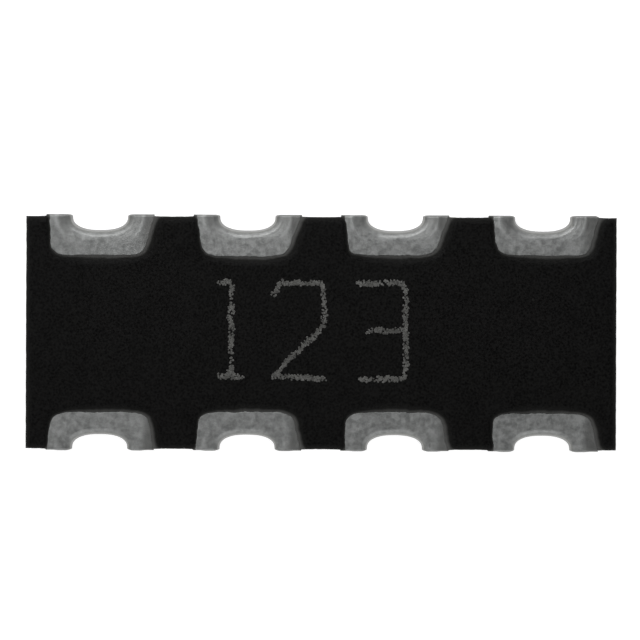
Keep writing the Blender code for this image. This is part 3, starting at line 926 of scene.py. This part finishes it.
def terminal_tree():
    """One terminal's skin, as a sheet that is bent over the plate's edge: along it the
    sheet goes round the notch, and across it from the window down to the solder pad."""
    tree, given, result = geometry_tree("Tin Terminal", (*WINDOW_INPUTS, *TERMINAL_SIZES), True)
    sheet, along, down = sheet_grid(tree, TERMINAL_COLUMNS, TERMINAL_ROWS)
    quarter = math.pi / 2

    # Round the notch, with a bead at each end that turns down over the cut silver
    turn = along.ramp(BEAD_SHARE, 1 - BEAD_SHARE, 0.0, math.pi)
    near_bead = along.ramp(0.0, BEAD_SHARE, quarter, 0.0)
    bead = near_bead + along.ramp(1 - BEAD_SHARE, 1.0, 0.0, quarter)
    skin = (given["Skin"] + BEAD_COVER) * bead.maths("COSINE") - BEAD_COVER
    proud = given["Bead"] * bead.maths("SINE")
    across, inward = turn.maths("COSINE"), abs(turn.maths("SINE"))

    half_width, depth = given["Notch Half Width"], given["Notch Depth"]
    notch = oval_reach(across, inward, half_width, depth, NOTCH_SQUARENESS)
    notch_x, notch_y = notch * across, -(notch * inward)
    steepness = (abs(notch_x) / half_width) ** (NOTCH_SQUARENESS - 1.0)
    lean_x = across.maths("SIGN") * steepness * depth / half_width
    lean_y = -((abs(notch_y) / depth) ** (NOTCH_SQUARENESS - 1.0))
    lean = length_of(lean_x, lean_y)
    normal_x, normal_y = lean_x / lean, lean_y / lean

    # Over the top rim, down the wall and round the lower rim
    upper_turn = down.ramp(TOP_END, RIM_END, 0.0, quarter)
    rim_turn = upper_turn + down.ramp(WALL_END, LOWER_RIM_END, 0.0, quarter)
    wall = down.ramp(RIM_END, WALL_END)
    rim = given["Rim Radius"]
    back = rim - given["Draft"] * wall - (rim + skin) * rim_turn.maths("SINE")
    x = notch_x + normal_x * back
    y = notch_y + normal_y * back
    z = (given["Plate Top"] - rim).blend(given["Plate Underside"] + rim, wall)
    z = z + (rim + skin) * rim_turn.maths("COSINE")

    # Out over the top face to the window, where the skin rounds off
    window_x, window_y = window_point(given, across, inward)
    window_reach = length_of(window_x, window_y)
    edge = down.ramp(0.0, WINDOW_RIM_END, quarter, 0.0)
    pull = 1.0 - (1.0 - edge.maths("SINE")) * RIM_ROUNDING / window_reach
    top_share = down.ramp(WINDOW_RIM_END, TOP_END, 1.0, 0.0)
    from_rim = (window_reach - notch) * top_share
    x = x.blend(window_x * pull, top_share)
    y = y.blend(window_y * pull, top_share)
    z = z - (1.0 - edge.maths("COSINE")) * RIM_ROUNDING

    # The printed silver thins out towards both sides of the notch, and the skin with it
    proud = proud * (from_rim / MM).ramp(TAPER_START, TAPER_END, 1.0, BEAD_TAPER, smooth=True)
    sag = (from_rim / SIDE_SAG_REACH).ramp(0.0, 1.0, 1.0, 0.0) ** 2.0
    sag = sag * abs(across) ** 1.5 * SIDE_SAG
    horn = abs(across) ** HORN_POWER * given["Facing"].ramp(-1.0, 1.0, FRONT_HORNS, 1.0)
    # The lip is raised, and also painted lighter in the finish, a painted highlight
    lip_and_highlight = (abs(from_rim - LIP_PLACE) / LIP_REACH).ramp(0.0, 1.0, 1.0, 0.0, smooth=True) * horn
    z = z - sag * down.ramp(RIM_END, WALL_END, 1.0, 0.0) + lip_and_highlight * LIP_HEIGHT

    # Out over the underside to the pad's rim, which turns up to the ceramic
    under_half_width, under_depth = given["Under Half Width"], given["Under Depth"]
    pad = oval_reach(across, inward, under_half_width, under_depth, UNDER_SQUARENESS)
    lift = down.ramp(UNDER_END, 1.0, 0.0, quarter)
    pad = pad - (1.0 - lift.maths("SINE")) * given["Bead"]
    under_share = down.ramp(LOWER_RIM_END, UNDER_END)
    x = x.blend(pad * across, under_share)
    y = y.blend(-(pad * inward), under_share)
    z = z + (1.0 - lift.maths("COSINE")) * (given["Plate Underside"] - LAYER_GAP)

    world_x = given["Place X"] + x * given["Facing"]
    world_y = given["Place Y"] + (y + proud) * given["Facing"]
    place = vector_of(tree, world_x, world_y, z)
    bent = chain("GeometryNodeSetPosition", sheet, Position=place)
    turned = chain("GeometryNodeFlipFaces", bent)

    # Plating lumps, which only ever go in, so that the skin keeps to its size
    outward = tree.nodes.new("GeometryNodeInputNormal").outputs[0]
    vector = times(tree.nodes.new("GeometryNodeInputPosition").outputs[0], 1 / MM)
    lumps, tooth = noise_field(vector, 9.0, 2.0), noise_field(vector, 34.0, 2.0)
    sink = times(outward, -(lumps * LUMP_RELIEF + tooth * TOOTH_RELIEF))
    shape = chain("GeometryNodeSetPosition", turned, Offset=sink)

    # Marks for the finish: painted shade on the notch's wall and on the sagging skin,
    # a painted highlight on its lip, and the resin
    wall_shade = down.ramp(TOP_END + 0.05, RIM_END, smooth=True)
    wall_shade = wall_shade * down.ramp(RIM_END, RIM_END + WALL_SHADE_FADE, 1.0, LOW_WALL_SHADE)
    wall_shade = wall_shade * down.ramp(WALL_END, LOWER_RIM_END, 1.0, 0.0)
    # Painted shade: the sagging skin beside the notch's sides is made darker
    sag_shade = (from_rim / SIDE_SAG_REACH).ramp(0.45, 0.95, 1.0, 0.0, smooth=True) * horn
    smear = noise_field(vector, 6.0, 3.0) * BLEED_WANDER
    bled = x * given["Facing"] + y * BLEED_LEAN + smear
    bled = bled.ramp(BLEED_START, BLEED_FULL, smooth=True) * top_share.ramp(0.05, 0.2)
    marks = {"wall": wall_shade, "sag_shade": sag_shade, "lip_and_highlight": lip_and_highlight, "bleed": bled}
    for name, value in marks.items():
        shape = kept(shape, name, value)
    thickness = times(outward, -TIN_THICKNESS)
    shape = kept(shape, "to_inner", thickness, "FLOAT_VECTOR")
    end_closed(shape, given, result)
    return tree


def tin_finish():
    made, shader, vector, grain = grained_finish("matte_tin", 85.0, 24.0, 3.0, Metallic=1.0)
    pits = place_group(SPECKS, vector, Cell_Scale=7.0, Share=0.10, Radius=0.16)
    colour = colour_blend(*TIN_TONES, grain["Patches"])
    # The marks: painted highlight on the lip, painted shade on the sag and the wall, and the
    # resin
    for name, (tone, share) in TIN_MARKS.items():
        colour = colour_blend(colour, tone, mark(shader, name) * share)
    colour = colour_blend(colour, PIT_COLOUR, pits["Mask"])
    height = grain["Height"] - pits["Mask"] * 1.5
    set_surface(shader, colour, grain["Patches"] * 0.10 + 0.50, height, 2.0 * MICRON)
    return made


tin = tin_finish()
skin_tree = terminal_tree()
for pin, place, facing in terminal_places():
    values = window_values(pin, place, facing) | TERMINAL_SIZES | {"Finish": tin}
    terminal = run_tree(skin_tree, f"matte_terminal_{pin}", values)
    terminal.shade_smooth()
    add_piece(f"matte_terminal_{pin}", terminal, tin, "tin", f"tin_terminal_{pin}")


# Value code
# Three plain figures, burnt into the overcoat by a laser that fires spot after spot along
# each stroke and wanders a little. The burnt epoxy is left grey, rough and slightly raised.

LASER_SIZES = {
    "Pitch": 0.0020 * MM,
    "Spot Width": 0.026 * MM,
    "Spot Height": 2.4 * MICRON,
    "Wander": 0.018 * MM,
    "Overcoat Top": OVERCOAT_HIGH.z,
}

# A spot is a low cone: its number of sides, and the radius of its top to its width
SPOT_SIDES, SPOT_TOP = 8, 0.30
BURN_TONES = ((0.024, 0.024, 0.022), (0.110, 0.110, 0.105))

# The strokes of each figure: how well the laser took, and the line's points in millimetres
FIGURE_ONE = (
    (0.85, (-0.883, 0.433), (-0.794, 0.437), (-0.769, 0.403), (-0.768, 0.364)),
    (0.50, (-0.771, 0.364), (-0.772, 0.269)),
    (0.95, (-0.773, 0.252), (-0.773, 0.182)),
    (0.90, (-0.790, 0.143), (-0.767, 0.038)),
    (0.90, (-0.780, -0.009), (-0.771, -0.124)),
    (0.45, (-0.776, -0.127), (-0.775, -0.273)),
    (0.90, (-0.775, -0.282), (-0.774, -0.368)),
    (0.80, (-0.796, -0.338), (-0.757, -0.338)),
    (0.85, (-0.868, -0.375), (-0.680, -0.374)),
)
FIGURE_TWO = (
    (0.75, (-0.411, 0.335), (-0.378, 0.374), (-0.364, 0.425)),
    (0.90, (-0.364, 0.429), (-0.240, 0.431), (-0.033, 0.434)),
    (0.75, (-0.033, 0.434), (0.014, 0.401), (0.025, 0.281), (0.026, 0.091)),
    (0.90, (0.020, 0.074), (-0.057, -0.025), (-0.176, -0.125)),
    (0.75, (-0.176, -0.125), (-0.300, -0.246), (-0.336, -0.315), (-0.408, -0.372)),
    (0.65, (-0.408, -0.372), (-0.193, -0.382)),
    (0.90, (-0.193, -0.382), (0.022, -0.391)),
)
FIGURE_THREE = (
    (0.85, (0.314, 0.428), (0.484, 0.429)),
    (0.30, (0.484, 0.429), (0.544, 0.434)),
    (0.80, (0.544, 0.436), (0.682, 0.433), (0.725, 0.387), (0.730, 0.335)),
    (0.35, (0.730, 0.335), (0.726, 0.293)),
    (0.88, (0.726, 0.292), (0.727, 0.025), (0.732, -0.164), (0.734, -0.328)),
    (0.65, (0.734, -0.328), (0.707, -0.386), (0.570, -0.393)),
    (0.95, (0.570, -0.393), (0.500, -0.393)),
    (0.50, (0.500, -0.393), (0.410, -0.394)),
    (0.95, (0.410, -0.394), (0.336, -0.394)),
    (0.55, (0.391, 0.007), (0.450, 0.022)),
    (0.95, (0.450, 0.022), (0.486, 0.029), (0.563, 0.016)),
    (0.75, (0.563, 0.016), (0.692, 0.025)),
)


def stroke_lines():
    """The strokes of all the figures, as a mesh of edges that keep their strength."""
    shape = bmesh.new()
    strength = shape.verts.layers.float.new("strength")
    for taken, *places in FIGURE_ONE + FIGURE_TWO + FIGURE_THREE:
        points = [shape.verts.new((x * MM, y * MM, 0.0)) for x, y in places]
        for point in points:
            point[strength] = taken
        for start, end in zip(points, points[1:]):
            shape.edges.new((start, end))
    mesh = bpy.data.meshes.new("stroke_lines")
    shape.to_mesh(mesh)
    shape.free()
    return mesh


def random_number(tree, low, high, seed):
    node = tree.nodes.new("FunctionNodeRandomValue")
    node.data_type = "FLOAT"
    slots = {slot.name: slot for slot in node.inputs if slot.enabled}
    slots["Min"].default_value = low
    slots["Max"].default_value = high
    slots["Seed"].default_value = seed
    return Field(next(slot for slot in node.outputs if slot.enabled))


def laser_mark_tree():
    """A burnt spot at every step of the laser along the strokes."""
    tree, given, result = geometry_tree("Laser Mark", LASER_SIZES, True)
    lines = chain("GeometryNodeMeshToCurve", given["Geometry"])
    steps = chain("GeometryNodeCurveToPoints", lines)
    steps.node.mode = "LENGTH"
    feed(given["Pitch"], steps.node.inputs["Length"])

    width = given["Spot Width"]
    radii = {"Radius Top": width * SPOT_TOP, "Radius Bottom": width * 0.5}
    spot = new_node(
        tree, "GeometryNodeMeshCone", Vertices=SPOT_SIDES, Depth=given["Spot Height"], **radii
    )

    aside = [
        random_number(tree, -1.0, 1.0, seed) + random_number(tree, -0.6, 0.6, seed + 5)
        for seed in (1, 2)
    ]
    x, y = (number * given["Wander"] for number in aside)
    z = given["Overcoat Top"] - given["Spot Height"] * random_number(tree, 1.0, 1.3, 3)
    shaken = chain("GeometryNodeSetPosition", steps, Offset=vector_of(tree, x, y, z))
    burnt = kept(shaken, "burn", random_number(tree, 0.0, 1.0, 4))
    size = random_number(tree, 0.6, 1.1, 5)
    taken = random_number(tree, 0.0, 1.0, 8).maths("LESS_THAN", named(tree, "strength") ** 1.6)
    values = {"Selection": taken, "Instance": spot.outputs["Mesh"]}
    values["Scale"] = vector_of(tree, size, size, 1.0)
    end_tree(chain("GeometryNodeInstanceOnPoints", burnt, **values), given, result)
    return tree


def burn_finish():
    made, shader, vector, grain = grained_finish(
        "laser_burn", 90.0, 14.0, 2.4, Specular_IOR_Level=0.2
    )
    share = mark(shader, "burn") * 0.4 + grain["Patches"] * 0.6
    colour = colour_blend(*BURN_TONES, share)
    set_surface(shader, colour, share * 0.15 + 0.65, grain["Height"], 1.5 * MICRON)
    return made


burn = burn_finish()
laser_values = LASER_SIZES | {"Finish": burn}
figures = run_tree(laser_mark_tree(), "value_code", laser_values, stroke_lines())
figures.shade_smooth()
add_piece("value_code", figures, burn, "marking")


# Card, light and camera
# The part lies on plain white card, under four soft square lamps and between pale walls.
# The camera looks straight down through a long lens, turned a little as the photograph is.

CARD_SIZE = 0.40
CARD_DROP = 0.5 * MICRON
CARD_TONES = ((0.34, 0.34, 0.34), (0.36, 0.36, 0.36))
CARD_GLOW = 0.89
BLACK, WHITE = (0.0, 0.0, 0.0), (1.0, 1.0, 1.0)


def seen_by(tree, *kinds):
    """Is 1 where any of these kinds of ray meets a surface."""
    path = tree.nodes.new("ShaderNodeLightPath")
    rays = [Field(path.outputs[f"Is {kind} Ray"]) for kind in kinds]
    seen = rays[0]
    for ray in rays[1:]:
        seen = seen.at_least(ray)
    return seen


def card_finish():
    """White card that keeps the part's shadow, and is white where it is seen or mirrored."""
    constants = {"Roughness": 0.9, "Specular IOR Level": 0.0, "Emission Strength": CARD_GLOW}
    made, shader, vector = new_finish("white_card", **constants)
    tone = colour_blend(*CARD_TONES, noise_field(vector, 3.0, 3.0))
    feed(tone, shader.inputs["Base Color"])
    seen = seen_by(made.node_tree, "Camera", "Glossy", "Transmission")
    feed(colour_blend(BLACK, WHITE, seen), shader.inputs["Emission Color"])
    return made


bpy.ops.mesh.primitive_plane_add(size=CARD_SIZE, location=(0.0, 0.0, -CARD_DROP))
card = bpy.context.object
card.name = "white_card"
card.data.materials.append(card_finish())

WALL_LEVEL, ZENITH_LEVEL = 0.72, 0.16
WALL_TOP, CEILING = 0.10, 0.95


def room_light():
    """Pale walls that dim towards the dark ceiling over the camera."""
    world = bpy.data.worlds.new("studio_room")
    bpy.context.scene.world = world
    world.use_nodes = True
    tree = world.node_tree
    backdrop = tree.nodes["Background"]
    backdrop.inputs["Color"].default_value = (*WHITE, 1.0)
    where = tree.nodes.new("ShaderNodeTexCoord")
    height = parts_of(where.outputs["Generated"])[2]
    level = height.ramp(WALL_TOP, CEILING, WALL_LEVEL, ZENITH_LEVEL, smooth=True)
    feed(level.blend(1.0, seen_by(tree, "Camera")), backdrop.inputs["Strength"])


room_light()

# Each lamp faces the part: its place, its width, and its share of the light on white card
LAMPS = {
    "key_lamp": ((-0.022, 0.030, 0.030), 0.030, 0.18),
    "rear_lamp": ((-0.0008, 0.0058, 0.0056), 0.004, 0.26),
    "side_lamp": ((-0.0120, 0.0040, 0.0170), 0.007, 0.14),
    "fill_lamp": ((0.012, -0.040, 0.030), 0.030, 0.16),
}

for name, (place, size, level) in LAMPS.items():
    lamp = bpy.data.lights.new(name, "AREA")
    lamp.shape = "SQUARE"
    lamp.size = size
    away = Vector(place)
    lamp.energy = level * math.pi * math.pi * away.length_squared / away.normalized().z
    holder = linked_object(name, lamp)
    holder.location = place
    holder.rotation_mode = "QUATERNION"
    holder.rotation_quaternion = away.to_track_quat("Z", "Y")

VIEW_WIDTH = 5.504 * MM
LENS = 1500.0
SENSOR = 36.0
CLIP_NEAR, CLIP_FAR = 0.001, 1.0
AIM = Vector((-0.0147 * MM, 0.1135 * MM, OVERCOAT_HIGH.z))
TILT = math.radians(0.3)
ROLL = math.radians(0.22)

camera = bpy.data.cameras.new("camera")
camera.lens = LENS
camera.sensor_width = SENSOR
camera.clip_start = CLIP_NEAR
camera.clip_end = CLIP_FAR
distance = VIEW_WIDTH * LENS / SENSOR
viewer = linked_object("camera", camera)
viewer.rotation_euler = (-TILT, 0.0, ROLL)
viewer.location = AIM + Vector((0.0, math.sin(TILT), math.cos(TILT))) * distance
bpy.context.scene.camera = viewer
bpy.context.scene.view_settings.view_transform = "Standard"
